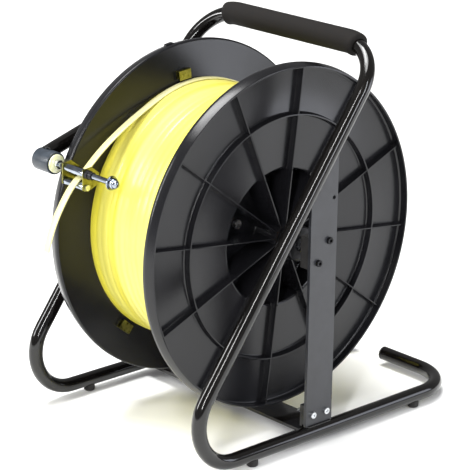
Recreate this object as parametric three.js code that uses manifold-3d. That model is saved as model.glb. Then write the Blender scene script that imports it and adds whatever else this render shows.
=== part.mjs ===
// Tape reel on a bent-tube stand: a ribbed plastic spool turns on a fixed axle between two uprights,
// and a roller guide on an arm leads the tape off the top of the winding.
// Millimetres. X is the axle, -Y is the front (the tape side), +Z is up, the floor is z = 0.
import * as THREE from 'three';
import { mergeVertices } from 'three/addons/utils/BufferGeometryUtils.js';
import Module from 'manifold-3d';

const wasm = await Module();
wasm.setup();

// ---- driving dimensions ----
// Y and Z of the pieces are given from the axle's Y and from the floor.
const gap = 0.3; // between pieces that touch
const axleY = -24.775; // puts the middle of the reel's footprint at the origin
const axleZ = 286;
const axleR = 10;

const tubeR = 10.65; // half-inch steel pipe, 21.3 mm outside
const tubeWall = 2;
const stemR = 7.6; // of the pieces that sit inside the tubes
const sideX = 180.5; // middle plane of each side frame
const railZ = 18.05; // middle of the tubes that lie along the floor
const handleY = 106.7;
const handleZ = 555.6;
const frontCornerY = -287.1; // where the leg's and the rail's lines would meet
const rearCornerY = 289.5;
const handleBendR = 67;
const frontBendR = 64.5;
const rearBendR = 70;
const stubX = 35; // the rails' open ends

const gripR = 17;
const gripTurn = 17; // degrees of each handle bend that the foam follows
const frontFootY = -125.3;
const rearFootY = 199.4;

const flangeR = 250;
const flangeInnerX = 92;
const flangeOuterX = 110;
const webThickness = 3.5;
const barrelR = 101.5;
const barrelWall = 3.5;
const ringRibR = 177;
const ribCount = 12;
const firstRib = 23; // degrees from +Y towards +Z
const ribThickness = 2.6;
const ribTopX = 106;
const hubPlateX = 60;
const hubPlateThickness = 3;
const bossR = 19;
const bushR = 12;
const windingR = 192;
const tieBoltCount = 3;
const firstTieBolt = 38; // midway between two ribs
const tieBoltCircleR = 60;
const tieBoltR = 4;

const uprightWidth = 50;
const uprightThickness = 5;
const crossBarTopZ = 23;
const crossBarThickness = 4.5;
const tabWidth = 40;
const tabTopZ = 58;
const baseScrewY = 13;
const baseScrewZ = 45.8;
const axleScrewY = 10;
const axleScrewZ = 14.5;
const screwR = 3;

const rodY = -234.6; // the guide's rod, parallel to the axle and just clear of the flanges
const rodZ = 389.8;
const rodR = 4;
const sleeveR = 16;
const sleeveLeftX = -149.5;
const sleeveRightX = -113;
const rodStopX = 9;
const armFront = [-135, -232.8, 400.5];
const armRearY = 35.7; // where the arm meets the left leg
const leftEarX = -89.5; // middle of each ear's sheet
const rightEarX = -44.5;
const earThickness = 1.5;
const rollerR = 5.9;
const lowerRoller = [-0.8, -19]; // from the rod
const bushOuterR = 5.4;
const pinR = 2.5;
const tapeWidth = 12;
const tapeThickness = 2;

// ---- materials ----
const finish = (color, roughness, metalness) => new THREE.MeshStandardMaterial({ color, roughness, metalness });
const blackEnamel = finish(0x14120f, 0.15, 0.2);
const uprightGrey = finish(0x4f5053, 0.45, 0.3);
const spoolPlastic = finish(0x3c3c40, 0.4, 0);
const foamBlack = finish(0x33302d, 0.95, 0);
const rubberBlack = finish(0x1b1a19, 0.8, 0);
const tapeYellow = finish(0xebe272, 0.4, 0);
const zincWhite = finish(0xd6d9dc, 0.25, 1);
const zincYellow = finish(0xc2b05a, 0.35, 1);
const steelBright = finish(0xbfc3c8, 0.2, 1);
const oxideBlack = finish(0x1d1d1f, 0.4, 0.8);
const bronze = finish(0xa07a45, 0.4, 1);
const sleeveGrey = finish(0x3a424c, 0.4, 0.6);

// ---- helpers ----
const group = new THREE.Group();

// Welds the vertices, drops empty triangles and turns the faces outwards.
function closedBody(geometry) {
  const bare = geometry.clone();
  bare.deleteAttribute('normal');
  bare.deleteAttribute('uv');
  const welded = mergeVertices(bare, 1e-4);
  const points = welded.attributes.position;
  const index = welded.index.array;
  const a = new THREE.Vector3();
  const b = new THREE.Vector3();
  const c = new THREE.Vector3();
  const kept = [];
  let volume = 0;
  for (let i = 0; i < index.length; i += 3) {
    const [p, q, r] = [index[i], index[i + 1], index[i + 2]];
    if (p === q || q === r || r === p) continue;
    a.fromBufferAttribute(points, p);
    b.fromBufferAttribute(points, q);
    c.fromBufferAttribute(points, r);
    volume += a.dot(b.cross(c));
    kept.push(p, q, r);
  }
  welded.setIndex(volume > 0 ? kept : kept.reverse());
  return welded;
}

function solid(geometry) {
  const body = closedBody(geometry);
  const vertProperties = new Float32Array(body.attributes.position.array);
  const triVerts = new Uint32Array(body.index.array);
  return new wasm.Manifold(new wasm.Mesh({ numProp: 3, vertProperties, triVerts }));
}

function geometryOf(manifold) {
  const mesh = manifold.getMesh();
  const geometry = new THREE.BufferGeometry();
  geometry.setAttribute('position', new THREE.BufferAttribute(new Float32Array(mesh.vertProperties), 3));
  geometry.setIndex([...mesh.triVerts]);
  return geometry;
}

// Every piece is placed in Y from the axle.
function addPart(name, geometry, material, [x, y, z] = [0, 0, 0]) {
  const mesh = new THREE.Mesh(closedBody(geometry), material);
  mesh.name = name;
  mesh.position.set(x, axleY + y, z);
  group.add(mesh);
}

// A body turned round the X axis. The profile is a list of [x, radius]: it runs from the axis back to
// the axis, or it is closed on itself.
function latheX(profile, sides) {
  const points = profile.map(([x, r]) => new THREE.Vector2(r, x));
  if (profile[0][1] > 0) points.push(points[0].clone());
  return new THREE.LatheGeometry(points, sides).rotateZ(-Math.PI / 2);
}

const tubeX = (x0, x1, outer, inner, sides) =>
  latheX([[x0, inner], [x0, outer], [x1, outer], [x1, inner]], sides);

function rodX(x0, x1, radius, sides) {
  return new THREE.CylinderGeometry(radius, radius, x1 - x0, sides)
    .rotateZ(-Math.PI / 2)
    .translate((x0 + x1) / 2, 0, 0);
}

function box(x0, x1, y0, y1, z0, z1) {
  return new THREE.BoxGeometry(x1 - x0, y1 - y0, z1 - z0)
    .translate((x0 + x1) / 2, (y0 + y1) / 2, (z0 + z1) / 2);
}

// A plate across the X axis: an anticlockwise outline of [y, z] with round holes of [y, z, radius].
function plateX(outline, holes, x0, x1) {
  const shape = new THREE.Shape(outline.map(([y, z]) => new THREE.Vector2(y, z)));
  for (const [y, z, radius] of holes) {
    shape.holes.push(new THREE.Path().absarc(y, z, radius, 0, Math.PI * 2, true));
  }
  const plate = new THREE.ExtrudeGeometry(shape, { depth: x1 - x0, bevelEnabled: false, curveSegments: 6 });
  const turn = new THREE.Matrix4().makeBasis(
    new THREE.Vector3(0, 1, 0),
    new THREE.Vector3(0, 0, 1),
    new THREE.Vector3(1, 0, 0),
  );
  return plate.applyMatrix4(turn).translate(x0, 0, 0);
}

// The middle line of a bent bar: straight stretches joined by round bends, with stations only at
// the ends and along the bends.
class BentLine extends THREE.Curve {
  constructor(corners, bendRadii) {
    super();
    const places = corners.map((corner) => new THREE.Vector3(...corner));
    const heading = (i) => places[i + 1].clone().sub(places[i]).normalize();
    const last = places.length - 1;
    this.stations = [{ at: places[0], along: heading(0) }];
    for (let i = 1; i < last; i += 1) {
      this.addBend(places[i], heading(i - 1), heading(i), bendRadii[i - 1]);
    }
    this.stations.push({ at: places[last], along: heading(last - 1) });
  }

  addBend(corner, before, after, radius) {
    const turn = before.angleTo(after);
    const start = corner.clone().addScaledVector(before, -radius * Math.tan(turn / 2));
    const inward = after.clone().addScaledVector(before, -after.dot(before)).normalize();
    const steps = Math.max(2, Math.round(turn / (Math.PI / 12)));
    for (let k = 0; k <= steps; k += 1) {
      const angle = (turn * k) / steps;
      const at = start.clone()
        .addScaledVector(inward, radius * (1 - Math.cos(angle)))
        .addScaledVector(before, radius * Math.sin(angle));
      const along = before.clone()
        .multiplyScalar(Math.cos(angle))
        .addScaledVector(inward, Math.sin(angle));
      this.stations.push({ at, along });
    }
  }

  get steps() {
    return this.stations.length - 1;
  }

  getUtoTmapping(u) {
    return u;
  }

  getPoint(t, target = new THREE.Vector3()) {
    return target.copy(this.stations[Math.round(t * this.steps)].at);
  }

  getTangent(t, target = new THREE.Vector3()) {
    return target.copy(this.stations[Math.round(t * this.steps)].along);
  }
}

function circle(radius, sides) {
  return Array.from({ length: sides }, (_, i) => {
    const angle = (2 * Math.PI * i) / sides;
    return new THREE.Vector2(radius * Math.cos(angle), radius * Math.sin(angle));
  });
}

// A round bar along a bent line, hollow when an inner radius is given.
function barAlong(line, outer, inner = 0, sides = 14) {
  const section = new THREE.Shape(circle(outer, sides));
  if (inner > 0) section.holes.push(new THREE.Path(circle(inner, 8)));
  return new THREE.ExtrudeGeometry(section, { extrudePath: line, steps: line.steps, bevelEnabled: false });
}

// A closed skin over a row of rings that all have the same number of points.
function skin(rings) {
  const count = rings[0].length;
  const index = [];
  for (let i = 0; i < rings.length - 1; i += 1) {
    for (let k = 0; k < count; k += 1) {
      const a = i * count + k;
      const b = i * count + ((k + 1) % count);
      index.push(a, b, b + count);
      index.push(a, b + count, a + count);
    }
  }
  const last = (rings.length - 1) * count;
  for (let k = 1; k < count - 1; k += 1) {
    index.push(0, k + 1, k);
    index.push(last, last + k, last + k + 1);
  }
  const geometry = new THREE.BufferGeometry().setFromPoints(rings.flat());
  geometry.setIndex(index);
  return geometry;
}

// Pieces are drawn for the +X side; the left ones are turned half a turn about the Z axis.
const faceOut = (geometry, side) => (side > 0 ? geometry : geometry.rotateZ(Math.PI));
const radians = THREE.MathUtils.degToRad;
const sides = [['left', -1], ['right', 1]];
const ends = [['front', -1], ['rear', 1]];

// ---- the stand ----
const legLength = Math.hypot(handleY - frontCornerY, handleZ - railZ);
const legAcross = (handleY - frontCornerY) / legLength;
const legRise = (handleZ - railZ) / legLength;
const legZ = (y) => handleZ - ((handleY - y) * legRise) / legAcross;

function sideFrame(side) {
  const corners = [
    [side * (gap / 2), handleY, handleZ],
    [side * sideX, handleY, handleZ],
    [side * sideX, frontCornerY, railZ],
    [side * sideX, rearCornerY, railZ],
    [side * stubX, rearCornerY, railZ],
  ];
  const line = new BentLine(corners, [handleBendR, frontBendR, rearBendR]);
  return barAlong(line, tubeR, tubeR - tubeWall);
}

// The foam follows the first part of both handle bends, and its bore follows the tube.
function foamGrip() {
  const turn = radians(gripTurn);
  const reach = handleBendR * Math.tan(turn / 2);
  const cornerX = sideX - handleBendR + reach;
  const past = reach + 3;
  const end = (side) => [
    side * (cornerX + past * Math.cos(turn)),
    handleY - past * Math.sin(turn) * legAcross,
    handleZ - past * Math.sin(turn) * legRise,
  ];
  const corners = [end(-1), [-cornerX, handleY, handleZ], [cornerX, handleY, handleZ], end(1)];
  const line = new BentLine(corners, [handleBendR, handleBendR]);
  const across = new THREE.Vector3(0, legRise, -legAcross);
  const rings = line.stations.map(({ at, along }, i) => {
    const radius = i === 0 || i === line.steps ? gripR - 3 : gripR;
    const up = along.clone().cross(across);
    return circle(radius, 16).map(({ x, y }) =>
      at.clone().addScaledVector(across, x).addScaledVector(up, y));
  });
  const tubeCorners = [
    [-sideX, frontCornerY, railZ],
    [-sideX, handleY, handleZ],
    [sideX, handleY, handleZ],
    [sideX, frontCornerY, railZ],
  ];
  const tube = new BentLine(tubeCorners, [handleBendR, handleBendR]);
  return geometryOf(solid(skin(rings)).subtract(solid(barAlong(tube, tubeR + gap, 0, 20))));
}

// A moulded plug: its stem sits in the rail's open end and its cap covers the end.
function endPlug() {
  return latheX([
    [16, 0], [16, stemR], [-gap, stemR], [-gap, tubeR], [-2.5, tubeR], [-3.5, tubeR - 2], [-3.5, 0],
  ], 12);
}

// A rubber foot under the rail, hollowed on top to sit against the tube.
function foot() {
  const profile = [[0, 0], [6.5, 0], [8, 1.5], [8.5, 5], [8.5, 11], [0, 11]];
  const dome = new THREE.LatheGeometry(profile.map(([r, z]) => new THREE.Vector2(r, z)), 12);
  const rail = new THREE.CylinderGeometry(tubeR + gap, tubeR + gap, 40, 20).translate(0, 0, railZ);
  return geometryOf(solid(dome.rotateX(Math.PI / 2)).subtract(solid(rail)));
}

const baseScrewHoles = ends.map(([, end]) => [end * baseScrewY, baseScrewZ, screwR + gap]);
const uprightOuterX = sideX + uprightThickness / 2;
const uprightInnerX = sideX - uprightThickness / 2;

// The upright stands on the rail and its top edge is cut to the slope of the leg above it.
function upright(side) {
  const half = uprightWidth / 2;
  const under = (tubeR + gap) / legAcross;
  const outline = [
    [-half, railZ + tubeR + gap],
    [half, railZ + tubeR + gap],
    [half, legZ(half) - under],
    [-half, legZ(-half) - under],
  ];
  const holes = [
    ...baseScrewHoles,
    [18, axleZ + 75, 3],
    [-axleScrewY, axleZ - axleScrewZ, screwR + gap],
    [axleScrewY, axleZ + axleScrewZ, screwR + gap],
  ];
  return plateX(outline, holes, side * sideX - uprightThickness / 2, side * sideX + uprightThickness / 2);
}

// A flat bar between the rails with both ends turned up into tabs.
const tabOuterX = sideX - tubeR - gap;
function crossBar() {
  const bottom = crossBarTopZ - crossBarThickness;
  const half = tabWidth / 2;
  const outline = [[-half, bottom], [half, bottom], [half, tabTopZ], [-half, tabTopZ]];
  const tab = solid(plateX(outline, baseScrewHoles, tabOuterX - crossBarThickness, tabOuterX));
  const flat = box(-tabOuterX, tabOuterX, -uprightWidth / 2, uprightWidth / 2, bottom, crossBarTopZ);
  return geometryOf(solid(flat).add(tab).add(tab.rotate([0, 0, 180])));
}

// Fills the space between the tab and the upright, above the rail.
function spacerBlock() {
  const half = tabWidth / 2;
  const bottom = railZ + tubeR + gap;
  const outline = [[-half, bottom], [half, bottom], [half, tabTopZ], [-half, tabTopZ]];
  return plateX(outline, baseScrewHoles, tabOuterX + gap, uprightInnerX - gap);
}

// A socket-head screw along X. Its shank runs towards -X.
function capScrew(headHeight, shankLength) {
  return latheX([
    [-shankLength, 0], [-shankLength, screwR], [0, screwR], [0, 5], [headHeight - 0.5, 5],
    [headHeight, 4.5], [headHeight, 2.5], [headHeight - 2.6, 2.5], [headHeight - 2.6, 0],
  ], 10);
}

function hexNut(x0, x1, acrossFlats, boreR) {
  const corners = circle(acrossFlats / Math.sqrt(3), 6).map(({ x, y }) => [x, y]);
  return plateX(corners, [[0, 0, boreR]], x0, x1);
}

function buildSide(word, side) {
  addPart(`frame_tube_${word}`, sideFrame(side), blackEnamel);
  addPart(`end_plug_${word}`, faceOut(endPlug(), side), rubberBlack, [side * stubX, rearCornerY, railZ]);
  addPart(`foot_front_${word}`, foot(), rubberBlack, [side * sideX, frontFootY, 0]);
  addPart(`foot_rear_${word}`, foot(), rubberBlack, [side * sideX, rearFootY, 0]);
  addPart(`upright_${word}`, upright(side), uprightGrey);
  addPart(`spacer_block_${word}`, faceOut(spacerBlock(), side), blackEnamel);
  for (const [place, end] of ends) {
    const nutFace = tabOuterX - crossBarThickness - gap;
    const headX = side * (uprightOuterX + gap);
    const nut = faceOut(hexNut(nutFace - 5, nutFace, 10, screwR + gap), side);
    const screw = faceOut(capScrew(3.6, 27), side);
    addPart(`base_screw_${place}_${word}`, screw, zincWhite, [headX, end * baseScrewY, baseScrewZ]);
    addPart(`base_nut_${place}_${word}`, nut, zincWhite, [0, end * baseScrewY, baseScrewZ]);
  }
}

// ---- the axle ----
const blockOuterX = uprightInnerX - gap;
const blockInnerX = blockOuterX - 16;
const axleEndX = blockOuterX - gap;

function axleBlock(side) {
  let block = solid(box(blockInnerX, blockOuterX, -23, 23, -23, 23));
  block = block.subtract(solid(rodX(blockInnerX - 1, blockOuterX + 1, axleR + gap, 24)));
  for (const [, end] of ends) {
    const hole = rodX(blockOuterX - 13, blockOuterX + 1, screwR + gap, 12);
    block = block.subtract(solid(hole.translate(0, side * end * axleScrewY, end * axleScrewZ)));
  }
  return faceOut(geometryOf(block), side);
}

function buildAxle() {
  addPart('axle', rodX(-axleEndX, axleEndX, axleR, 24), steelBright, [0, 0, axleZ]);
  for (const [word, side] of sides) {
    addPart(`axle_block_${word}`, axleBlock(side), rubberBlack, [0, 0, axleZ]);
    const collar = [
      [112, axleR + gap], [112, 23], [114, 25], [138, 25], [140, 23], [140, axleR + gap],
    ];
    addPart(`axle_collar_${word}`, faceOut(latheX(collar, 24), side), oxideBlack, [0, 0, axleZ]);
    for (const [, end] of ends) {
      const name = `axle_screw_${end < 0 ? 'lower' : 'upper'}_${word}`;
      const headX = side * (uprightOuterX + gap);
      const screw = faceOut(capScrew(4, 17), side);
      addPart(name, screw, oxideBlack, [headX, end * axleScrewY, axleZ + end * axleScrewZ]);
    }
  }
}

// ---- the spool ----
// One half for the +X side. Barrel, hub plate, boss, web, ring rib and rim are turned in one; the
// twelve ribs stand on the web and go on as deep webs inside the barrel.
function spoolHalf() {
  const webOut = flangeInnerX + webThickness;
  const barrelIn = barrelR - barrelWall;
  const plateOut = hubPlateX + hubPlateThickness;
  const turned = latheX([
    [gap / 2, barrelIn], [gap / 2, barrelR], [flangeInnerX, barrelR], [flangeInnerX, flangeR - 1],
    [flangeInnerX + 1, flangeR], [flangeInnerX + 6, flangeR], [flangeOuterX, flangeR - 3.5],
    [flangeOuterX, flangeR - 6.5], [webOut, flangeR - 3.5], [webOut, ringRibR + 1.5],
    [ribTopX, ringRibR + 1.3], [ribTopX, ringRibR - 1.3], [webOut, ringRibR - 1.5], [webOut, barrelIn],
    [plateOut, barrelIn], [plateOut, bossR], [ribTopX, bossR], [ribTopX, bushR + gap],
    [40, bushR + gap], [40, bossR], [hubPlateX, bossR], [hubPlateX, barrelIn],
  ], 40);
  let half = solid(turned);
  const t = ribThickness / 2;
  const deep = box(hubPlateX + 1, ribTopX, bossR - 3, barrelR, -t, t);
  const shallow = box(webOut - 1, ribTopX, barrelR - 1, flangeR - 4.5, -t, t);
  const rib = solid(deep).add(solid(shallow));
  for (let i = 0; i < ribCount; i += 1) {
    half = half.add(rib.rotate([firstRib + (i * 360) / ribCount, 0, 0]));
  }
  for (let i = 0; i < tieBoltCount; i += 1) {
    const [y, z] = tieBoltPlace(i);
    const hole = rodX(hubPlateX - 1, plateOut + 1, tieBoltR + gap, 12);
    half = half.subtract(solid(hole.translate(0, y, z)));
  }
  return half;
}

function tieBoltPlace(i) {
  const angle = radians(firstTieBolt + (i * 360) / tieBoltCount);
  return [tieBoltCircleR * Math.cos(angle), tieBoltCircleR * Math.sin(angle)];
}

// A low moulded lug on the left rim, clear of the guide's rod and nut.
function rimLug() {
  return solid(box(98.5, 103.5, -7, 7, flangeR - 4, flangeR + 1.8)).rotate([9, 0, 0]);
}

function hubBush() {
  const seat = ribTopX + gap;
  return latheX([
    [44, axleR + gap], [44, bushR], [seat, bushR], [seat, 17], [seat + 3, 17], [seat + 3, axleR + gap],
  ], 24);
}

// A bent sheet hook on the left flange's inner face, just above the tape: a foot, a top and a front lip.
function tapeHook(degrees) {
  const sheet = 1.5;
  const face = -(flangeInnerX - gap);
  const front = -84.5;
  const [low, high] = [windingR + 5, windingR + 19];
  const shape = new THREE.Shape([
    [face, low + 2], [face + sheet, low + 2], [face + sheet, high - sheet], [front - sheet, high - sheet],
    [front - sheet, low], [front, low], [front, high], [face, high],
  ].map(([x, r]) => new THREE.Vector2(x, r)));
  return new THREE.ExtrudeGeometry(shape, { depth: 22, bevelEnabled: false })
    .translate(0, 0, -11)
    .rotateX(Math.PI / 2)
    .rotateX(radians(degrees - 90));
}

function buildSpool() {
  const half = spoolHalf();
  const at = [0, 0, axleZ];
  const mirrored = half.add(rimLug()).mirror([1, 0, 0]);
  addPart('spool_half_right', geometryOf(half), spoolPlastic, at);
  addPart('spool_half_left', geometryOf(mirrored), spoolPlastic, at);
  for (const [word, side] of sides) {
    addPart(`hub_bush_${word}`, faceOut(hubBush(), side), bronze, at);
  }
  for (let i = 0; i < tieBoltCount; i += 1) {
    const [y, z] = tieBoltPlace(i);
    const seat = hubPlateX + hubPlateThickness + gap;
    const bolt = latheX([
      [-seat - 9, 0], [-seat - 9, tieBoltR], [seat, tieBoltR], [seat, 6.5], [seat + 5.3, 6.5], [seat + 5.3, 0],
    ], 12);
    addPart(`tie_bolt_${i + 1}`, bolt, zincWhite, [0, y, axleZ + z]);
    addPart(`tie_nut_${i + 1}`, hexNut(-seat - 6.5, -seat, 13, tieBoltR + gap), zincWhite, [0, y, axleZ + z]);
  }
  const windingX = flangeInnerX - gap;
  addPart('tape_winding', tubeX(-windingX, windingX, windingR, barrelR + 2 * gap, 40), tapeYellow, at);
  addPart('tape_hook_upper', tapeHook(96), zincYellow, at);
  addPart('tape_hook_lower', tapeHook(230), zincYellow, at);
}

// ---- the guide's arm and rod ----
// Both ends of the arm are notched, one round the left leg and one over the sleeve.
function guideArm() {
  const line = new BentLine([armFront, [-sideX, armRearY, legZ(armRearY)]], []);
  const legLine = new BentLine([[-sideX, -120, legZ(-120)], [-sideX, 70, legZ(70)]], []);
  const sleeve = rodX(sleeveLeftX - 2, sleeveRightX + 2, sleeveR + gap, 32).translate(0, rodY, rodZ);
  const notches = solid(barAlong(legLine, tubeR + gap, 0, 32)).add(solid(sleeve));
  return geometryOf(solid(barAlong(line, tubeR, tubeR - tubeWall)).subtract(notches));
}

function buildGuideArm() {
  const at = [0, rodY, rodZ];
  const bore = rodR + gap;
  const rodLeft = sleeveLeftX - 7;
  const washerX = sleeveRightX + gap;
  const nutX = washerX + 2 + gap;
  const capX = rodStopX + 2 + gap;
  addPart('guide_arm', guideArm(), blackEnamel);
  const sleeve = latheX([
    [sleeveLeftX, bore], [sleeveLeftX, sleeveR - 1.5], [sleeveLeftX + 1.5, sleeveR],
    [sleeveRightX, sleeveR], [sleeveRightX, bore],
  ], 24);
  addPart('guide_sleeve', sleeve, sleeveGrey, at);
  addPart('guide_rod', rodX(rodLeft, capX + 4.5, rodR, 16), steelBright, at);
  addPart('rod_outer_nut', hexNut(rodLeft + 0.7, sleeveLeftX - gap, 13, bore), zincWhite, at);
  addPart('sleeve_washer', tubeX(washerX, washerX + 2, 13.2, bore, 24), zincYellow, at);
  addPart('rod_inner_nut', hexNut(nutX, nutX + 5.9, 12, bore), zincWhite, at);
  addPart('rod_end_washer', tubeX(rodStopX, rodStopX + 2, 10, bore, 20), steelBright, at);
  const capNut = latheX([
    [capX, bore], [capX, 7.5], [capX + 5.7, 7.5], [capX + 9.2, 6], [capX + 11.7, 3.5], [capX + 12.7, 0],
    [capX + 5, 0], [capX + 5, bore],
  ], 16);
  addPart('rod_cap_nut', capNut, steelBright, at);
}

// ---- the guide's carriage ----
// Two ears joined by a web below and behind the rollers, so the tape's way is open.
function guideBracket() {
  const outline = [[-7.5, -22], [2, -25], [18, -18], [22, -2], [8, 9], [-7, 7]];
  const web = [[22, -2], [18, -18], [16.5, -17.6], [20.5, -1.6]];
  const holes = [[0, 0, bushOuterR + gap], [...lowerRoller, pinR + gap]];
  const half = earThickness / 2;
  const left = solid(plateX(outline, holes, leftEarX - half, leftEarX + half));
  const right = solid(plateX(outline, holes, rightEarX - half, rightEarX + half));
  const joined = solid(plateX(web, [], leftEarX - half, rightEarX + half));
  return geometryOf(left.add(right).add(joined));
}

function buildCarriage() {
  const at = [0, rodY, rodZ];
  const lowerAt = [0, rodY + lowerRoller[0], rodZ + lowerRoller[1]];
  const bore = rodR + gap;
  const leftOut = leftEarX - earThickness / 2 - gap;
  const leftIn = leftEarX + earThickness / 2;
  const rightIn = rightEarX - earThickness / 2;
  const rightOut = rightEarX + earThickness / 2 + gap;
  addPart('guide_bracket', guideBracket(), zincYellow, at);
  addPart('guide_bush_left', tubeX(leftOut - 6, leftIn, bushOuterR, bore, 16), oxideBlack, at);
  const rightBush = latheX([
    [rightIn, bore], [rightIn, bushOuterR], [rightOut, bushOuterR], [rightOut, 6.6], [rightOut + 6, 6.6],
    [rightOut + 6, bushOuterR], [rightOut + 13.3, bushOuterR], [rightOut + 13.3, bore],
  ], 16);
  addPart('guide_bush_right', rightBush, oxideBlack, at);
  const rollerLeft = leftIn + 0.6;
  const rollerRight = rightIn - 0.6;
  addPart('upper_roller', tubeX(rollerLeft, rollerRight, rollerR, bore, 20), steelBright, at);
  addPart('lower_roller', tubeX(rollerLeft, rollerRight, rollerR, pinR + gap, 20), steelBright, lowerAt);
  const pin = latheX([
    [leftOut - 1, 0], [leftOut - 1, pinR], [rightOut, pinR], [rightOut, 4.2], [rightOut + 2.5, 4.2],
    [rightOut + 2.5, 0],
  ], 12);
  addPart('lower_roller_pin', pin, zincWhite, lowerAt);
}

// ---- the tape's free end ----
// It lies on the winding, leaves it at a tangent, passes between the rollers and curls down.
const layStart = 58; // degrees from +Y towards +Z
const layEnd = 110;
const layDrift = 5; // the tape moves this far from the flange on the winding
const laySteps = 8;
const freeRoute = [
  [-74.5, -118.5, 448], [-71, -157.5, 429.5], [-67, -192.5, 409.5], [-62.5, -228.3, 384.2], [-62, -239.2, 377.2],
  [-62, -251.4, 365.2], [-62, -268.8, 340.4], [-62, -278.7, 322.3], [-62, -286.3, 303.5], [-62, -292.2, 285],
];

function tapeLine() {
  const layR = windingR + gap + tapeThickness / 2;
  const layX = gap + tapeWidth / 2 - flangeInnerX + 0.2;
  const points = [];
  for (let k = 0; k <= laySteps; k += 1) {
    const angle = radians(layStart + ((layEnd - layStart) * k) / laySteps);
    const x = layX + (layDrift * k) / laySteps;
    points.push(new THREE.Vector3(x, layR * Math.cos(angle), axleZ + layR * Math.sin(angle)));
  }
  freeRoute.forEach((place) => points.push(new THREE.Vector3(...place)));
  return new THREE.CatmullRomCurve3(points, false, 'centripetal');
}

function tapeStrand() {
  const line = tapeLine();
  const half = tapeWidth / 2;
  const thin = tapeThickness / 2;
  const bevel = 0.4;
  const section = [
    [-half, bevel - thin], [bevel - half, -thin], [half - bevel, -thin], [half, bevel - thin],
    [half, thin - bevel], [half - bevel, thin], [bevel - half, thin], [-half, thin - bevel],
  ];
  const steps = 48;
  const rings = [];
  for (let i = 0; i <= steps; i += 1) {
    const at = line.getPointAt(i / steps);
    const tangent = line.getTangentAt(i / steps);
    const out = new THREE.Vector3(0, -tangent.z, tangent.y).normalize();
    rings.push(section.map(([a, b]) => new THREE.Vector3(at.x + a, at.y, at.z).addScaledVector(out, b)));
  }
  return skin(rings);
}

// ---- the whole reel ----
sides.forEach(([word, side]) => buildSide(word, side));
addPart('cross_bar', crossBar(), blackEnamel);
addPart('handle_spigot', rodX(-40, 40, stemR, 14), steelBright, [0, handleY, handleZ]);
addPart('foam_grip', foamGrip(), foamBlack);
buildAxle();
buildSpool();
buildGuideArm();
buildCarriage();
addPart('tape_strand', tapeStrand(), tapeYellow);

export default group;
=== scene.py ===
import math
import random

import bmesh
import bpy
from mathutils import Matrix, Vector


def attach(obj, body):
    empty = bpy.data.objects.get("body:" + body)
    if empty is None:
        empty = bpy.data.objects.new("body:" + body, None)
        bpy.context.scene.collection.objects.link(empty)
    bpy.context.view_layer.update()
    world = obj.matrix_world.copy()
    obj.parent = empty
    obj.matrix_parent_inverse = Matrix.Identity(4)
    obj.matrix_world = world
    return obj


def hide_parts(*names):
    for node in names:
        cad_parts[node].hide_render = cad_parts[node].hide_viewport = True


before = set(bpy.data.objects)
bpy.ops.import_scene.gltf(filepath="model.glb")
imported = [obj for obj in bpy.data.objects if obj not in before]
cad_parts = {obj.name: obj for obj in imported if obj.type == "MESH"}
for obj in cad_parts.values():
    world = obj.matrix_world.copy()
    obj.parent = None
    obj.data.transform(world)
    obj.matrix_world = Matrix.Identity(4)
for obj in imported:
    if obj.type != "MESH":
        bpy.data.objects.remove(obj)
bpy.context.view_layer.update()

axleY = -24.775  # the axle's middle line, in millimetres
axleZ = 286.0
tubeRadius = 10.65


# the camera stands to the front right, a little above the reel
cameraSettings = {
    "place": (2.1231, -1.9731, 1.2112),
    "azimuth": 47.39,
    "elevation": 18.24,
    "roll": 0.86,
    "lens": 160.9,
    "shift": (-0.003, 0.0036),
}


def makeCamera(settings):
    a, e, r = (math.radians(settings[key]) for key in ("azimuth", "elevation", "roll"))
    back = Vector((math.sin(a) * math.cos(e), -math.cos(a) * math.cos(e), math.sin(e)))
    flat = Vector((math.cos(a), math.sin(a), 0))
    lift = back.cross(flat)
    right = flat * math.cos(r) + lift * math.sin(r)
    up = lift * math.cos(r) - flat * math.sin(r)
    data = bpy.data.cameras.new("studioCamera")
    data.lens = settings["lens"]
    data.sensor_width = 36
    data.shift_x, data.shift_y = settings["shift"]
    data.clip_end = 60
    camera = bpy.data.objects.new("studioCamera", data)
    turn = Matrix((right, up, back)).transposed().to_4x4()
    camera.matrix_world = Matrix.Translation(settings["place"]) @ turn
    bpy.context.scene.collection.objects.link(camera)
    bpy.context.scene.camera = camera


makeCamera(cameraSettings)
print("camera placed")


# colours are given as sRGB hex and turned to linear
def hexColour(text):
    channels = [int(text[i:i + 2], 16) / 255 for i in (1, 3, 5)]
    return [c / 12.92 if c <= 0.04045 else ((c + 0.055) / 1.055) ** 2.4 for c in channels] + [1]


# adds one node, sets its inputs or properties and any colour stops, and links its inputs
# to other nodes' outputs
def addNode(tree, kind, settings=None, links=None, stops=()):
    node = tree.nodes.new(kind)
    for key, value in (settings or {}).items():
        if isinstance(key, int) or key in node.inputs:
            node.inputs[key].default_value = value
        else:
            setattr(node, key, value)
    for key, (source, output) in (links or {}).items():
        tree.links.new(source.outputs[output], node.inputs[key])
    if stops:
        elements = node.color_ramp.elements
        for element, (place, text) in zip(elements, (stops[0], stops[-1])):
            element.position, element.color = place, hexColour(text)
        for place, text in stops[1:-1]:
            elements.new(place).color = hexColour(text)
    return node


def newMaterial(name):
    material = bpy.data.materials.new(name)
    material.use_nodes = True
    tree = material.node_tree
    tree.nodes.clear()
    return material, tree


def finishMaterial(tree, shader):
    addNode(tree, "ShaderNodeOutputMaterial", links={"Surface": (shader, "BSDF")})


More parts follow.
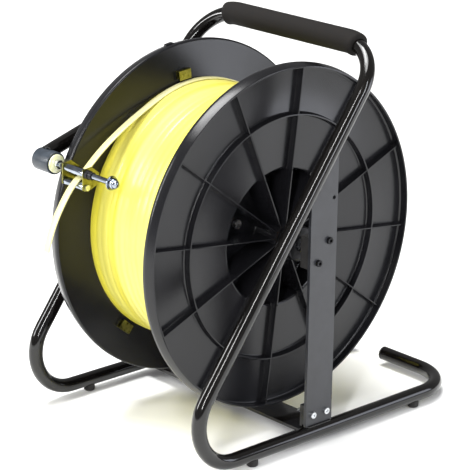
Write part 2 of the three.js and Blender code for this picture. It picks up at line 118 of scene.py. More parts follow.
# a surface with cloudy colour, uneven gloss and fine relief; sizes are in millimetres
def surfaceMaterial(name, colours, roughness, metallic=0.0, cloud=40.0, grain=1.0, relief=0.02,
                    coat=0.0, coatRoughness=0.1, ior=1.5, stretch=(1, 1, 1)):
    material, tree = newMaterial(name)
    place = addNode(tree, "ShaderNodeTexCoord")
    mapped = addNode(tree, "ShaderNodeMapping", {"Scale": stretch}, {"Vector": (place, "Object")})
    clouds = addNode(tree, "ShaderNodeTexNoise", {"Scale": 1000 / cloud, "Detail": 4, "Roughness": 0.6},
                     {"Vector": (mapped, "Vector")})
    colour = addNode(tree, "ShaderNodeValToRGB", links={"Fac": (clouds, "Fac")},
                     stops=[(0.35, colours[0]), (0.65, colours[1])])
    gloss = addNode(tree, "ShaderNodeMapRange",
                    {"From Min": 0.3, "From Max": 0.7, "To Min": roughness[0], "To Max": roughness[1]},
                    {"Value": (clouds, "Fac")})
    grains = addNode(tree, "ShaderNodeTexNoise", {"Scale": 1000 / grain, "Detail": 2},
                     {"Vector": (mapped, "Vector")})
    bump = addNode(tree, "ShaderNodeBump", {"Strength": 0.6, "Distance": relief * 0.001},
                   {"Height": (grains, "Fac")})
    settings = {"Metallic": metallic, "Coat Weight": coat, "Coat Roughness": coatRoughness}
    if metallic < 0.5:
        settings["IOR"] = ior
    shader = addNode(tree, "ShaderNodeBsdfPrincipled", settings,
                     {"Base Color": (colour, "Color"), "Roughness": (gloss, "Result"),
                      "Normal": (bump, "Normal")})
    finishMaterial(tree, shader)
    return material


# gloss stove enamel on bent pipe: near black, with a slight orange-peel
tubeEnamel = surfaceMaterial("glossBlackEnamel", ("#080706", "#0d0b0a"), (0.08, 0.15), cloud=60, grain=4,
                             relief=0.004, coat=0.3, coatRoughness=0.04, ior=1.4)
# satin enamel on flat bar: greyer, with a soft sheen
barEnamel = surfaceMaterial("satinGreyEnamel", ("#25262a", "#2e2f33"),
                            (0.3, 0.42), cloud=30, grain=0.8, relief=0.02)
# injection-moulded polypropylene: black, with a faint flow pattern and a fine spark texture
spoolPlastic = surfaceMaterial("mouldedPolypropylene", ("#121214", "#19191c"),
                               (0.2, 0.27), cloud=120, grain=1.2, relief=0.012, ior=1.4)
# closed-cell foam skin: matte, with small open pits
gripFoam = surfaceMaterial("closedCellFoam", ("#100e0d", "#191614"),
                           (0.75, 0.9), cloud=8, grain=1.6, relief=0.25, ior=1.3)
# moulded rubber: matte black with a dusty bloom
footRubber = surfaceMaterial("mouldedRubber", ("#171615", "#232120"),
                             (0.6, 0.85), cloud=12, grain=0.7, relief=0.04)
# satin painted steel sleeve, cool and dark
sleevePaint = surfaceMaterial("satinSleevePaint", ("#242a31", "#2f3740"),
                              (0.28, 0.42), cloud=14, grain=0.6, relief=0.015)
# bright zinc plate: light, slightly uneven gloss
brightZinc = surfaceMaterial("brightZincPlate", ("#c9cdd1", "#e4e6e8"),
                             (0.18, 0.34), 1.0, cloud=8, grain=0.5, relief=0.01)
# yellow chromate over zinc: olive gold with paler patches
yellowZinc = surfaceMaterial("yellowZincPlate", ("#6f6c36", "#979252"),
                             (0.24, 0.38), 1.0, cloud=6, grain=0.5, relief=0.01)
# a thin, pale chromate film on the washer, almost matt
paleZinc = surfaceMaterial("paleYellowZinc", ("#eef0b4", "#fbfbe0"),
                           (0.3, 0.45), 0.1, cloud=7, grain=0.5, relief=0.01)
# polished chrome plate, cool and bright
chromePlate = surfaceMaterial("polishedChrome", ("#8d95a1", "#a9b1bc"),
                              (0.08, 0.16), 1.0, cloud=15, grain=1.0, relief=0.004)
# turned steel: fine rings round the axle from the lathe tool
turnedSteel = surfaceMaterial("turnedSteel", ("#9c9fa3", "#b9bcc0"), (0.2, 0.36), 1.0, cloud=5, grain=0.4,
                              relief=0.02, stretch=(6, 1, 1))
# black oxide on steel screws: dark with an oily gloss
blackOxide = surfaceMaterial("blackOxide", ("#141416", "#242427"),
                             (0.25, 0.45), 0.7, cloud=5, grain=0.4, relief=0.01)
# sintered bronze, pressed and oil-filled
sinteredBronze = surfaceMaterial("sinteredBronze", ("#7f6236", "#a5804a"),
                                 (0.35, 0.5), 1.0, cloud=3, grain=0.4, relief=0.02)
print("finishes made")


def addPiece(name, verts, faces, material, body, nodes=(), sharp=35):
    mesh = bpy.data.meshes.new(name)
    mesh.from_pydata([Vector(v) * 0.001 for v in verts], [], faces)
    work = bmesh.new()
    work.from_mesh(mesh)
    bmesh.ops.recalc_face_normals(work, faces=work.faces)
    work.to_mesh(mesh)
    work.free()
    mesh.polygons.foreach_set("use_smooth", [True] * len(mesh.polygons))
    mesh.set_sharp_from_angle(angle=math.radians(sharp))
    mesh.materials.append(material)
    piece = bpy.data.objects.new(name, mesh)
    bpy.context.scene.collection.objects.link(piece)
    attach(piece, body)
    if nodes:
        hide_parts(*nodes)
    return piece


# joins several lists of vertices and faces into one
def joinShapes(shapes):
    verts, faces = [], []
    for shapeVerts, shapeFaces in shapes:
        start = len(verts)
        verts += [tuple(v) for v in shapeVerts]
        faces += [[start + i for i in face] for face in shapeFaces]
    return verts, faces


# a skin over rings of equal length, with flat ends, or closed into a loop
def skinShape(rings, closed=False):
    count = len(rings[0])
    verts = [point for ring in rings for point in ring]
    faces = []
    for i in range(len(rings) if closed else len(rings) - 1):
        near, far = i * count, ((i + 1) % len(rings)) * count
        for k in range(count):
            n = (k + 1) % count
            faces.append([near + k, near + n, far + n, far + k])
    if not closed:
        faces.append(list(range(count))[::-1])
        faces.append([(len(rings) - 1) * count + k for k in range(count)])
    return verts, faces


# a turned shape round a line along X; the profile is a closed loop of (x, radius)
def turnedShape(profile, centre=(axleY, axleZ), steps=48):
    rings = []
    for i in range(steps):
        c, n = math.cos(2 * math.pi * i / steps), math.sin(2 * math.pi * i / steps)
        rings.append([(x, centre[0] + r * c, centre[1] + r * n) for x, r in profile])
    return skinShape(rings, closed=True)


# rounds the corners of a profile with small arcs, so edges catch the light
def roundedProfile(profile, radius, steps=3):
    points = [Vector(p) for p in profile]
    result = []
    for i, corner in enumerate(points):
        before, after = points[i - 1] - corner, points[(i + 1) % len(points)] - corner
        reach = min(radius, before.length * 0.45, after.length * 0.45)
        start, end = corner + before.normalized() * reach, corner + after.normalized() * reach
        for k in range(steps + 1):
            t = k / steps
            result.append(tuple(start * (1 - t) ** 2 + corner * 2 * t * (1 - t) + end * t ** 2))
    return result


# the middle line of a bent tube: straight stretches joined by round bends, as (point, heading) pairs
def bentLine(corners, bendRadii, bendSteps=16):
    places = [Vector(c) for c in corners]
    line = [(places[0], (places[1] - places[0]).normalized())]
    for i in range(1, len(places) - 1):
        before = (places[i] - places[i - 1]).normalized()
        after = (places[i + 1] - places[i]).normalized()
        turn = before.angle(after)
        radius = bendRadii[i - 1]
        start = places[i] - before * radius * math.tan(turn / 2)
        inward = (after - before * after.dot(before)).normalized()
        for k in range(bendSteps + 1):
            angle = turn * k / bendSteps
            point = start + inward * radius * (1 - math.cos(angle)) + before * radius * math.sin(angle)
            line.append((point, before * math.cos(angle) + inward * math.sin(angle)))
    line.append((places[-1], (places[-1] - places[-2]).normalized()))
    return line


# rings of a round bar along a line; the frame is carried along so that it doesn't twist
def barRings(line, radius, sides=32):
    heading = line[0][1]
    side = heading.orthogonal().normalized()
    rings = []
    for i, (point, now) in enumerate(line):
        side = (heading.rotation_difference(now) @ side)
        side = (side - now * side.dot(now)).normalized()
        heading = now
        up = now.cross(side)
        r = radius(i) if callable(radius) else radius
        ring = []
        for k in range(sides):
            angle = 2 * math.pi * k / sides
            ring.append(tuple(point + side * (r * math.cos(angle)) + up * (r * math.sin(angle))))
        rings.append(ring)
    return rings


# the tape's free end: it lies on the winding, passes between the rollers and curls down in front
tapeEnd = {
    "width": 12.0,
    "thickness": 2.0,
    "edge": 0.5,
    "layRadius": 193.3,
    "layX": -85.5,
    "layDrift": 5.0,
    "layFrom": 58.0,
    "layTo": 110.0,
    "laySteps": 8,
    "free": [
        (-74.5, -118.5, 448), (-71, -157.5, 429.5), (-67, -192.5, 409.5), (-62.5, -228.3, 384.2),
        (-62, -239.2, 377.2), (-62, -251.4, 365.2), (-62, -268.8, 340.4), (-62, -278.7, 322.3),
        (-62, -286.3, 303.5), (-62, -292.2, 285),
    ],
}


# the points that the tape runs through, from the winding to its bare end
def tapePoints(tape):
    points = []
    r, steps = tape["layRadius"], tape["laySteps"]
    for k in range(steps + 1):
        angle = math.radians(tape["layFrom"] + (tape["layTo"] - tape["layFrom"]) * k / steps)
        x = tape["layX"] + tape["layDrift"] * k / steps
        points.append(Vector((x, r * math.cos(angle), axleZ + r * math.sin(angle))))
    points += [Vector(p) for p in tape["free"]]
    return [p + Vector((0, axleY, 0)) for p in points]


# a smooth line through the points, spaced by the square root of their distance
def smoothLine(points, steps=10):
    ends = [points[0] * 2 - points[1]] + points + [points[-1] * 2 - points[-2]]
    line = []
    for i in range(len(points) - 1):
        p0, p1, p2, p3 = ends[i:i + 4]
        t0 = 0.0
        t1 = t0 + math.sqrt((p1 - p0).length)
        t2 = t1 + math.sqrt((p2 - p1).length)
        t3 = t2 + math.sqrt((p3 - p2).length)
        for k in range(steps):
            t = t1 + (t2 - t1) * k / steps
            a1 = p0 * ((t1 - t) / (t1 - t0)) + p1 * ((t - t0) / (t1 - t0))
            a2 = p1 * ((t2 - t) / (t2 - t1)) + p2 * ((t - t1) / (t2 - t1))
            a3 = p2 * ((t3 - t) / (t3 - t2)) + p3 * ((t - t2) / (t3 - t2))
            b1 = a1 * ((t2 - t) / (t2 - t0)) + a2 * ((t - t0) / (t2 - t0))
            b2 = a2 * ((t3 - t) / (t3 - t1)) + a3 * ((t - t1) / (t3 - t1))
            line.append(b1 * ((t2 - t) / (t2 - t1)) + b2 * ((t - t1) / (t2 - t1)))
    line.append(points[-1])
    return line


# the wound tape: lanes lie side by side, each a little crowned, and the top layer is uneven;
# its bands of painted light and shade, lighter, paler and more saturated across the winding, are (place
# across the winding, colour)
winding = {
    "halfWidth": 91.6,
    "outer": 192.0,
    "inner": 102.2,
    "laneWidth": 12.2,
    "crown": 0.45,
    "unevenness": 0.5,
    # painted light and shade: a brighter, more saturated left edge and paler stripes where light falls on
    # the winding
    "paintedLightBands": [
        (0.0, "#dccf1e"), (0.06, "#ddd12e"), (0.11, "#dbd466"), (0.2, "#d9d158"), (0.25, "#d3c738"),
        (0.31, "#dbd474"), (0.55, "#d9d160"), (1.0, "#d1c640"),
    ],
    "paintedLightStrength": 0.65,
    "paintedLightWander": 20.0,
}


# plastic-coated tape, extruded smooth: pale yellow, with faint streaks along it and, where it is
# wound, soft bands of painted light and shade across it, lighter, paler and more saturated from lane to
# lane
def tapeCoating(name, colours, streakiness, wound=None):
    material, tree = newMaterial(name)
    place = addNode(tree, "ShaderNodeTexCoord")
    streakScale = addNode(tree, "ShaderNodeMapping", {"Scale": (60, 3, 3)}, {"Vector": (place, "Object")})
    streaks = addNode(tree, "ShaderNodeTexNoise", {"Scale": 1.0, "Detail": 5, "Roughness": 0.55},
                      {"Vector": (streakScale, "Vector")})
    softScale = addNode(tree, "ShaderNodeMapping", {"Scale": (14, 3, 3)}, {"Vector": (place, "Object")})
    soft = addNode(tree, "ShaderNodeTexNoise", {"Scale": 1.0, "Detail": 2},
                   {"Vector": (softScale, "Vector")})
    blend = addNode(tree, "ShaderNodeMix", {"data_type": "FLOAT", 0: streakiness},
                    {2: (soft, "Fac"), 3: (streaks, "Fac")})
    colour = addNode(tree, "ShaderNodeValToRGB", links={"Fac": (blend, "Result")},
                     stops=[(0.36, colours[0]), (0.5, colours[1]), (0.66, colours[2])])
    result = "Color"
    # on the winding, bands of painted light and shade are mixed in across it, brighter at the left edge and
    # paler in stripes
    if wound:
        shift, half = wound["paintedLightWander"] * 0.001, wound["halfWidth"] * 0.001
        across = addNode(tree, "ShaderNodeSeparateXYZ", links={"Vector": (place, "Object")})
        wander = addNode(tree, "ShaderNodeMath", {"operation": "MULTIPLY_ADD", 1: shift},
                         {0: (soft, "Fac"), 2: (across, "X")})
        lane = addNode(tree, "ShaderNodeMapRange",
                       {"From Min": shift / 2 - half, "From Max": shift / 2 + half},
                       {"Value": (wander, "Value")})
        paintedLightColour = addNode(tree, "ShaderNodeValToRGB", links={"Fac": (lane, "Result")},
                         stops=wound["paintedLightBands"])
        colour = addNode(tree, "ShaderNodeMix", {"data_type": "RGBA", 0: wound["paintedLightStrength"]},
                         {6: (colour, "Color"), 7: (paintedLightColour, "Color")})
        result = 2  # a colour mix gives its result on this output
    gloss = addNode(tree, "ShaderNodeMapRange",
                    {"From Min": 0.3, "From Max": 0.7, "To Min": 0.28, "To Max": 0.42},
                    {"Value": (streaks, "Fac")})
    bump = addNode(tree, "ShaderNodeBump", {"Strength": 0.3, "Distance": 0.0002},
                   {"Height": (streaks, "Fac")})
    shader = addNode(tree, "ShaderNodeBsdfPrincipled",
                     {"IOR": 1.5, "Coat Weight": 0.3, "Coat Roughness": 0.3},
                     {"Base Color": (colour, result), "Roughness": (gloss, "Result"),
                      "Normal": (bump, "Normal")})
    finishMaterial(tree, shader)
    return material


windingCoating = tapeCoating("paleYellowTapeCoating", ("#d2c944", "#d8d068", "#ded88c"), 0.3, winding)
strandCoating = tapeCoating("creamTapeCoating", ("#cfc887", "#d8d29a", "#dfdaac"), 0.5)


def makeTapeEnd(tape):
    line = smoothLine(tapePoints(tape))
    half, thin, edge = tape["width"] / 2, tape["thickness"] / 2, tape["edge"]
    section = [(-half, -thin + edge), (-half + edge * 0.3, -thin + edge * 0.3), (-half + edge, -thin),
               (half - edge, -thin), (half - edge * 0.3, -thin + edge * 0.3), (half, -thin + edge),
               (half, thin - edge), (half - edge * 0.3, thin - edge * 0.3), (half - edge, thin),
               (-half + edge, thin), (-half + edge * 0.3, thin - edge * 0.3), (-half, thin - edge)]
    rings = []
    for i, point in enumerate(line):
        ahead, behind = line[min(i + 1, len(line) - 1)], line[max(i - 1, 0)]
        heading = (ahead - behind).normalized()
        out = Vector((0, -heading.z, heading.y)).normalized()
        rings.append([tuple(point + Vector((a, 0, 0)) + out * b) for a, b in section])
    verts, faces = skinShape(rings)
    piece = addPiece("tapeFreeEnd", verts, faces, strandCoating, "carriage", ["tape_strand"])


makeTapeEnd(tapeEnd)


def makeWinding(wound):
    random.seed(4)
    lanes = round(2 * wound["halfWidth"] / wound["laneWidth"])
    lane = 2 * wound["halfWidth"] / lanes
    profile = [(-wound["halfWidth"], wound["inner"])]
    for i in range(lanes):
        drop = 0 if i == 0 else random.uniform(0, wound["unevenness"])
        for k in range(5):
            t = k / 4
            crown = wound["crown"] * (1 - (2 * t - 1) ** 4)
            x = -wound["halfWidth"] + lane * (i + 0.02 + 0.96 * t)
            profile.append((x, wound["outer"] - wound["crown"] - drop + crown))
    profile.append((wound["halfWidth"], wound["inner"]))
    verts, faces = turnedShape(profile, steps=120)
    addPiece("woundTape", verts, faces, windingCoating, "drum", ["tape_winding"], sharp=50)


makeWinding(winding)
print("tape wound")


# the spool: moulded halves with a recessed hub, twelve ribs, a ring rib and a rolled rim
spool = {
    "innerX": 92.0,
    "webX": 95.5,
    "ribX": 106.0,
    "rimX": 110.0,
    "radius": 250.0,
    "barrel": 101.5,
    "ring": 177.0,
    "ribs": 12,
    "firstRib": 23.0,
    "ribBase": 3.4,
    "ribTop": 2.0,
    "plateInX": 60.0,
    "plateOutX": 63.0,
    "boss": 18.6,
    "bossInX": 40.0,
    "bore": 12.3,
}
# the lug on the left rim: its place round the rim, its faces along X, and (radius, half width) steps
rimLug = {
    "turn": 99.0,
    "faces": (98.5, 103.5),
    "steps": ((246, 7.5), (251, 7), (251.8, 5.5)),
}


def spoolProfile(s):
    inner = s["barrel"] - 3.5
    loop = [
        (0.15, inner), (0.15, s["barrel"]), (s["innerX"], s["barrel"]), (s["innerX"], s["radius"] - 2),
        (s["innerX"] + 1.5, s["radius"]), (s["innerX"] + 6, s["radius"]), (s["rimX"], s["radius"] - 3.5),
        (s["rimX"], s["radius"] - 6.5), (s["webX"] + 2, s["radius"] - 4.2), (s["webX"], s["radius"] - 6.5),
        (s["webX"], s["ring"] + 3), (s["webX"] + 1.5, s["ring"] + 1.7), (s["ribX"], s["ring"] + 1.1),
        (s["ribX"], s["ring"] - 1.1), (s["webX"] + 1.5, s["ring"] - 1.7), (s["webX"], s["ring"] - 3),
        (s["webX"], inner + 4), (s["webX"] - 1.5, inner + 0.8), (s["plateOutX"] + 2, inner),
        (s["plateOutX"], inner - 2), (s["plateOutX"], s["boss"] + 3.4),
        (s["plateOutX"] + 1.5, s["boss"] + 1.2), (s["ribX"], s["boss"]), (s["ribX"], s["bore"]),
        (s["bossInX"], s["bore"]), (s["bossInX"], s["boss"] + 0.4), (s["plateInX"], s["boss"] + 0.4),
        (s["plateInX"], inner),
    ]
    return roundedProfile(loop, 0.7, 2)


# a straight rib standing on the web, narrower at its rounded top
def ribShape(s, angle, inner, outer, bottom, top):
    base, tip = s["ribBase"] / 2, s["ribTop"] / 2
    section = [(-base - 0.8, bottom), (-base, bottom + 1.2), (-tip, top - 0.6), (-tip * 0.55, top),
               (tip * 0.55, top), (tip, top - 0.6), (base, bottom + 1.2), (base + 0.8, bottom)]
    c, n = math.cos(angle), math.sin(angle)
    rings = []
    for r in (inner, outer):
        rings.append([(x, axleY + r * c - w * n, axleZ + r * n + w * c) for w, x in section])
    return skinShape(rings)


def lugShape(lug):
    turn = math.radians(lug["turn"])
    low, high = lug["faces"]
    rings = []
    for r, wide in lug["steps"]:
        ring = [(low, -wide), (high, -wide), (high, wide), (low, wide)]
        rings.append([(x, axleY + r * math.cos(turn) - w * math.sin(turn),
                       axleZ + r * math.sin(turn) + w * math.cos(turn)) for x, w in ring])
    return skinShape(rings)


def makeSpoolHalf(s, side, word):
    shapes = [turnedShape(spoolProfile(s), steps=180)]
    for i in range(s["ribs"]):
        angle = math.radians(s["firstRib"] + 360 * i / s["ribs"])
        shapes.append(ribShape(s, angle, s["boss"] - 1.6, s["barrel"] - 2, s["plateOutX"] - 1,
                               s["ribX"] - 0.1))
        shapes.append(ribShape(s, angle, s["barrel"] - 4, s["radius"] - 5, s["webX"] - 0.5,
                               s["ribX"] - 0.1))
    if side < 0:
        shapes.append(lugShape(rimLug))
    verts, faces = joinShapes(shapes)
    verts = [(x * side, y, z) for x, y, z in verts]
    addPiece("spoolHalf" + word, verts, faces, spoolPlastic, "drum",
             ["spool_half_" + word.lower()], sharp=32)


makeSpoolHalf(spool, 1, "Right")
makeSpoolHalf(spool, -1, "Left")
print("spool halves moulded")


# the stand's tubes
stand = {
    "sideX": 180.5,
    "railZ": 18.05,
    "handle": (106.7, 555.6),
    "frontCornerY": -287.1,
    "rearCornerY": 289.5,
    "stubX": 35.0,
    "bends": (67.0, 64.5, 70.0),
    "wall": 2.0,
}
handleY, handleZ = stand["handle"]
legLength = math.hypot(handleY - stand["frontCornerY"], handleZ - stand["railZ"])
legAcross = (handleY - stand["frontCornerY"]) / legLength
legRise = (handleZ - stand["railZ"]) / legLength


def legHeight(y):
    return handleZ - (handleY - y) * legRise / legAcross


def makeSideTube(s, side, word):
    corners = [
        (side * 0.2, axleY + handleY, handleZ), (side * s["sideX"], axleY + handleY, handleZ),
        (side * s["sideX"], axleY + s["frontCornerY"], s["railZ"]),
        (side * s["sideX"], axleY + s["rearCornerY"], s["railZ"]),
        (side * s["stubX"], axleY + s["rearCornerY"], s["railZ"]),
    ]
    line = bentLine(corners, s["bends"])
    outer = barRings(line, tubeRadius)
    inner = barRings(line, tubeRadius - s["wall"])[::-1]
    verts, faces = skinShape(outer + inner, closed=True)
    addPiece("sideTube" + word, verts, faces, tubeEnamel, "stand",
             ["frame_tube_" + word.lower()], sharp=40)


makeSideTube(stand, 1, "Right")
makeSideTube(stand, -1, "Left")


# the foam sleeve follows the first part of both bends, "turn" degrees of each and "past" further on;
# its ends are rounded over and pinched in a little
grip = {
    "radius": 17.0,
    "turn": 17.0,
    "past": 3.0,
    "ringEvery": 6.0,
    "pinch": 4.0,
    "pinchLength": 5.0,
    "unevenness": 0.06,
}


def makeGrip(s, g):
    turn = math.radians(g["turn"])
    reach = s["bends"][0] * math.tan(turn / 2)
    cornerX = s["sideX"] - s["bends"][0] + reach
    past = reach + g["past"]
    ends = []
    for side in (-1, 1):
        ends.append((side * (cornerX + past * math.cos(turn)),
                     axleY + handleY - past * math.sin(turn) * legAcross,
                     handleZ - past * math.sin(turn) * legRise))
    corners = [ends[0], (-cornerX, axleY + handleY, handleZ), (cornerX, axleY + handleY, handleZ), ends[1]]
    bends = bentLine(corners, (s["bends"][0], s["bends"][0]), bendSteps=10)
    line = []
    for (a, headingA), (b, headingB) in zip(bends, bends[1:]):
        pieces = max(1, round((b - a).length / g["ringEvery"]))
        for k in range(pieces):
            t = k / pieces
            line.append((a.lerp(b, t), headingA.lerp(headingB, t).normalized()))
    line.append(bends[-1])
    lengths = [0.0]
    for (a, _), (b, _) in zip(line, line[1:]):
        lengths.append(lengths[-1] + (b - a).length)
    total = lengths[-1]
    random.seed(7)
    waves = [random.uniform(-1, 1) for _ in line]

    def radiusAt(i):
        fromEnd = min(lengths[i], total - lengths[i])
        edge = min(1.0, fromEnd / g["pinchLength"])
        rounded = math.sqrt(max(0.0, 1 - (1 - edge) ** 2))
        return g["radius"] - g["pinch"] + g["pinch"] * rounded + g["unevenness"] * waves[i]

    outer = barRings(line, radiusAt, sides=40)
    inner = barRings(line, tubeRadius + 0.3, sides=40)[::-1]
    verts, faces = skinShape(outer + inner, closed=True)
    piece = addPiece("foamGrip", verts, faces, gripFoam, "stand", ["foam_grip"], sharp=60)


makeGrip(stand, grip)
print("stand bent and grip slid on")


# turned pieces: each is a profile of (x, radius), its place in Y and Z, and its finish
rodCentre = (axleY - 234.6, 389.8)
lowerCentre = (rodCentre[0] - 0.8, rodCentre[1] - 19)
turnedPieces = {
    "guideSleeve": ([(-149.5, 4.3), (-149.5, 14), (-147.5, 16), (-113, 16), (-113, 4.3)], rodCentre,
                    sleevePaint, "stand", "sleeve", "guide_sleeve", 0.8),
    "sleeveWasher": ([(-112.7, 4.3), (-112.7, 13.2), (-110.7, 13.2), (-110.7, 4.3)], rodCentre, paleZinc,
                     "stand", "yellow_zinc", "sleeve_washer", 0.4),
    "rodEndWasher": ([(9, 4.3), (9, 10), (11, 10), (11, 4.3)], rodCentre, chromePlate,
                     "stand", "bright_steel", "rod_end_washer", 0.4),
    "upperRoller": ([(-88.15, 4.3), (-88.15, 5.9), (-45.85, 5.9), (-45.85, 4.3)], rodCentre, chromePlate,
                    "upper_roller_body", "bright_steel", "upper_roller", 0.25),
    "lowerRoller": ([(-88.15, 2.8), (-88.15, 5.9), (-45.85, 5.9), (-45.85, 2.8)], lowerCentre, chromePlate,
                    "lower_roller_body", "bright_steel", "lower_roller", 0.25),
    "guideBushLeft": ([(-96.55, 4.3), (-96.55, 5.4), (-88.75, 5.4), (-88.75, 4.3)], rodCentre, blackOxide,
                      "carriage", "black_oxide", "guide_bush_left", 0.3),
    "guideBushRight": ([(-45.25, 4.3), (-45.25, 5.4), (-43.45, 5.4), (-43.45, 6.6), (-37.45, 6.6),
                        (-37.45, 5.4), (-30.15, 5.4), (-30.15, 4.3)], rodCentre, blackOxide,
                       "carriage", "black_oxide", "guide_bush_right", 0.4),
    "axleCollarRight": ([(112, 10.3), (112, 23), (114, 25), (138, 25), (140, 23), (140, 10.3)],
                        (axleY, axleZ), blackOxide, "stand", "black_oxide", "axle_collar_right", 0.6),
    "axleCollarLeft": ([(-112, 10.3), (-112, 23), (-114, 25), (-138, 25), (-140, 23), (-140, 10.3)],
                       (axleY, axleZ), blackOxide, "stand", "black_oxide", "axle_collar_left", 0.6),
}


def makeTurnedPieces(pieces):
    for name, (profile, centre, material, body, slot, node, edge) in pieces.items():
        verts, faces = turnedShape(roundedProfile(profile, edge), centre, 48)
        addPiece(name, verts, faces, material, body, [node])


makeTurnedPieces(turnedPieces)


# a domed cap nut: a low collar, a waist and a polished dome
def makeCapNut(centre):
    profile = [(11.3, 4.3), (11.3, 7.2), (11.7, 7.5), (16.6, 7.5), (17.1, 7.2), (17.4, 6.6)]
    for k in range(9):
        angle = math.pi / 2 * k / 8
        profile.append((17.4 + 6.4 * math.sin(angle), 0.02 + 6.1 * math.cos(angle)))
    profile += [(16.3, 0.02), (16.3, 4.3)]
    verts, faces = turnedShape(profile, centre, 40)
    addPiece("domedCapNut", verts, faces, chromePlate, "stand", ["rod_cap_nut"], sharp=50)


makeCapNut(rodCentre)
print("guide turned")


# weld beads where the uprights meet the tubes
def beadShape(points, radius, ripple, spacing):
    line = []
    total = 0.0
    for a, b in zip(points, points[1:]):
        pieces = max(2, round((b - a).length / 0.8))
        for k in range(pieces):
            line.append((a.lerp(b, k / pieces), (b - a).normalized(), total + (b - a).length * k / pieces))
        total += (b - a).length
    line.append((points[-1], line[-1][1], total))

    def radiusAt(i):
        place = line[i][2]
        taper = min(1.0, 0.35 + min(place, total - place) / 3)
        return (radius + ripple * abs(math.sin(math.pi * place / spacing))) * taper

    return skinShape(barRings([(p, h) for p, h, _ in line], radiusAt, sides=10))


weld = {
    "radius": 1.5,
    "ripple": 0.5,
    "spacing": 3.0,
    "fromMiddle": 3.4,
    "stations": (-23, 0, 23),
    "legSink": 0.4,
    "railSink": 0.1,
}


def makeWelds(w):
    shapes = []
    for side in (-1, 1):
        for face in (-1, 1):
            x = side * stand["sideX"] + face * w["fromMiddle"]
            under = (tubeRadius - w["legSink"]) / legAcross
            over = stand["railZ"] + tubeRadius - w["railSink"]
            leg = [Vector((x, axleY + y, legHeight(y) - under)) for y in w["stations"]]
            rail = [Vector((x, axleY + y, over)) for y in w["stations"]]
            shapes.append(beadShape(leg, w["radius"], w["ripple"], w["spacing"]))
            shapes.append(beadShape(rail, w["radius"], w["ripple"], w["spacing"]))
    verts, faces = joinShapes(shapes)
    addPiece("weldBeads", verts, faces, tubeEnamel, "stand", sharp=60)


makeWelds(weld)
print("welds laid")


# the CAD pieces that stay as they are get their finish and a small bevel that catches the light
keptFinishes = {
    "upright": (barEnamel, 0.4), "cross_bar": (tubeEnamel, 0.5), "spacer_block": (tubeEnamel, 0.4),
    "foot": (footRubber, 0.5), "end_plug": (footRubber, 0.4), "base_screw": (brightZinc, 0.25),
    "base_nut": (brightZinc, 0.3), "handle_spigot": (turnedSteel, 0.3), "axle_block": (footRubber, 0.8),
    "axle_screw": (blackOxide, 0.25), "axle": (turnedSteel, 0.3), "hub_bush": (sinteredBronze, 0.3),
    "tie_bolt": (brightZinc, 0.3), "tie_nut": (brightZinc, 0.3), "tape_hook": (yellowZinc, 0.3),
    "guide_arm": (tubeEnamel, 0.0), "guide_rod": (chromePlate, 0.2), "rod_outer_nut": (brightZinc, 0.3),
    "rod_inner_nut": (brightZinc, 0.3), "guide_bracket": (yellowZinc, 0.25),
    "lower_roller_pin": (brightZinc, 0.2),
}


keptEdges = {"sharp": 38, "segments": 2, "bevelAbove": 50}


def finishKeptNodes(finishes, edges):
    for node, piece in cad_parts.items():
        match = [key for key in finishes if node == key or node.startswith(key + "_")]
        if not match:
            continue
        material, bevel = finishes[max(match, key=len)]
        piece.data.materials.clear()
        piece.data.materials.append(material)
        piece.data.polygons.foreach_set("use_smooth", [True] * len(piece.data.polygons))
        piece.data.set_sharp_from_angle(angle=math.radians(edges["sharp"]))
        if bevel:
            edge = piece.modifiers.new("softEdge", "BEVEL")
            edge.width = bevel * 0.001
            edge.segments = edges["segments"]
            edge.limit_method = "ANGLE"
            edge.angle_limit = math.radians(edges["bevelAbove"])
            edge.harden_normals = True


finishKeptNodes(keptFinishes, keptEdges)
print("finishes applied")


# studio: a pale floor, a white surround, a broad sun as skylight and soft lights, each given as
# place, aim, size, power and colour
studio = {
    "floor": ("#f4f4f2", "#f8f8f7"),
    "lights": {
        "overheadSoftbox": ((-0.6, -0.4, 2.6), (0, 0, 0.3), (0.9, 1.2), 34, "#ffffff"),
        "frontLeftSoftbox": ((-1.5, -2.2, 1.5), (0, 0, 0.3), (0.4, 1.6), 50, "#ffffff"),
        "rightStrip": ((2.6, 0.2, 1.3), (0, 0, 0.3), (0.25, 1.8), 24, "#f6f9ff"),
        "frontRightStrip": ((1.7, -2.3, 1.9), (0, 0, 0.3), (0.14, 2.2), 60, "#ffffff"),
        "lowRearPanel": ((1.0, 1.0, 0.45), (0.1, 0.05, 0.42), (0.5, 0.5), 3.0, "#eef2ff"),
    },
    "skylight": {"strength": 3.2, "spread": 35, "tilt": (8, -6)},
    "surround": 0.26,
}


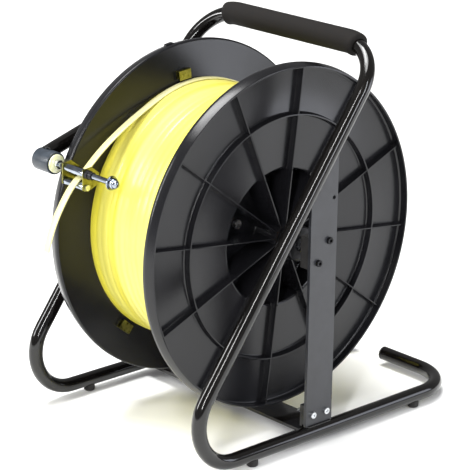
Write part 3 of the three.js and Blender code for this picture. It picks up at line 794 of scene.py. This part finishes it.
def makeStudio(s):
    bpy.ops.mesh.primitive_plane_add(size=40)
    floor = bpy.context.object
    floor.name = "studioFloor"
    material, tree = newMaterial("paleStudioPaint")
    place = addNode(tree, "ShaderNodeTexCoord")
    mottle = addNode(tree, "ShaderNodeTexNoise", {"Scale": 3.0, "Detail": 3}, {"Vector": (place, "Object")})
    colour = addNode(tree, "ShaderNodeValToRGB", links={"Fac": (mottle, "Fac")},
                     stops=[(0.3, s["floor"][0]), (0.7, s["floor"][1])])
    shader = addNode(tree, "ShaderNodeBsdfPrincipled", {"Roughness": 0.9, "Specular IOR Level": 0.1},
                     {"Base Color": (colour, "Color")})
    finishMaterial(tree, shader)
    floor.data.materials.append(material)
    for name, (place, aim, size, power, colour) in s["lights"].items():
        data = bpy.data.lights.new(name, "AREA")
        data.shape = "RECTANGLE"
        data.size, data.size_y = size
        data.energy = power
        data.color = hexColour(colour)[:3]
        light = bpy.data.objects.new(name, data)
        light.location = place
        light.rotation_euler = (Vector(aim) - Vector(place)).to_track_quat("-Z", "Y").to_euler()
        bpy.context.scene.collection.objects.link(light)
    sky = s["skylight"]
    skyData = bpy.data.lights.new("skylightPanel", "SUN")
    skyData.energy, skyData.angle = sky["strength"], math.radians(sky["spread"])
    skyLight = bpy.data.objects.new("skylightPanel", skyData)
    skyLight.rotation_euler = (math.radians(sky["tilt"][0]), math.radians(sky["tilt"][1]), 0)
    bpy.context.scene.collection.objects.link(skyLight)
    world = bpy.data.worlds.new("studioSurround")
    world.use_nodes = True
    tree = world.node_tree
    tree.nodes.clear()
    seen = addNode(tree, "ShaderNodeLightPath")
    dim = addNode(tree, "ShaderNodeBackground", {"Color": (1, 1, 1, 1), "Strength": s["surround"]})
    bright = addNode(tree, "ShaderNodeBackground", {"Color": (1, 1, 1, 1), "Strength": 1.0})
    mixed = addNode(tree, "ShaderNodeMixShader", links={
        0: (seen, "Is Camera Ray"), 1: (dim, "Background"), 2: (bright, "Background")})
    addNode(tree, "ShaderNodeOutputWorld", links={"Surface": (mixed, "Shader")})
    bpy.context.scene.world = world
    bpy.context.scene.view_settings.view_transform = "Standard"


makeStudio(studio)
print("studio lit")
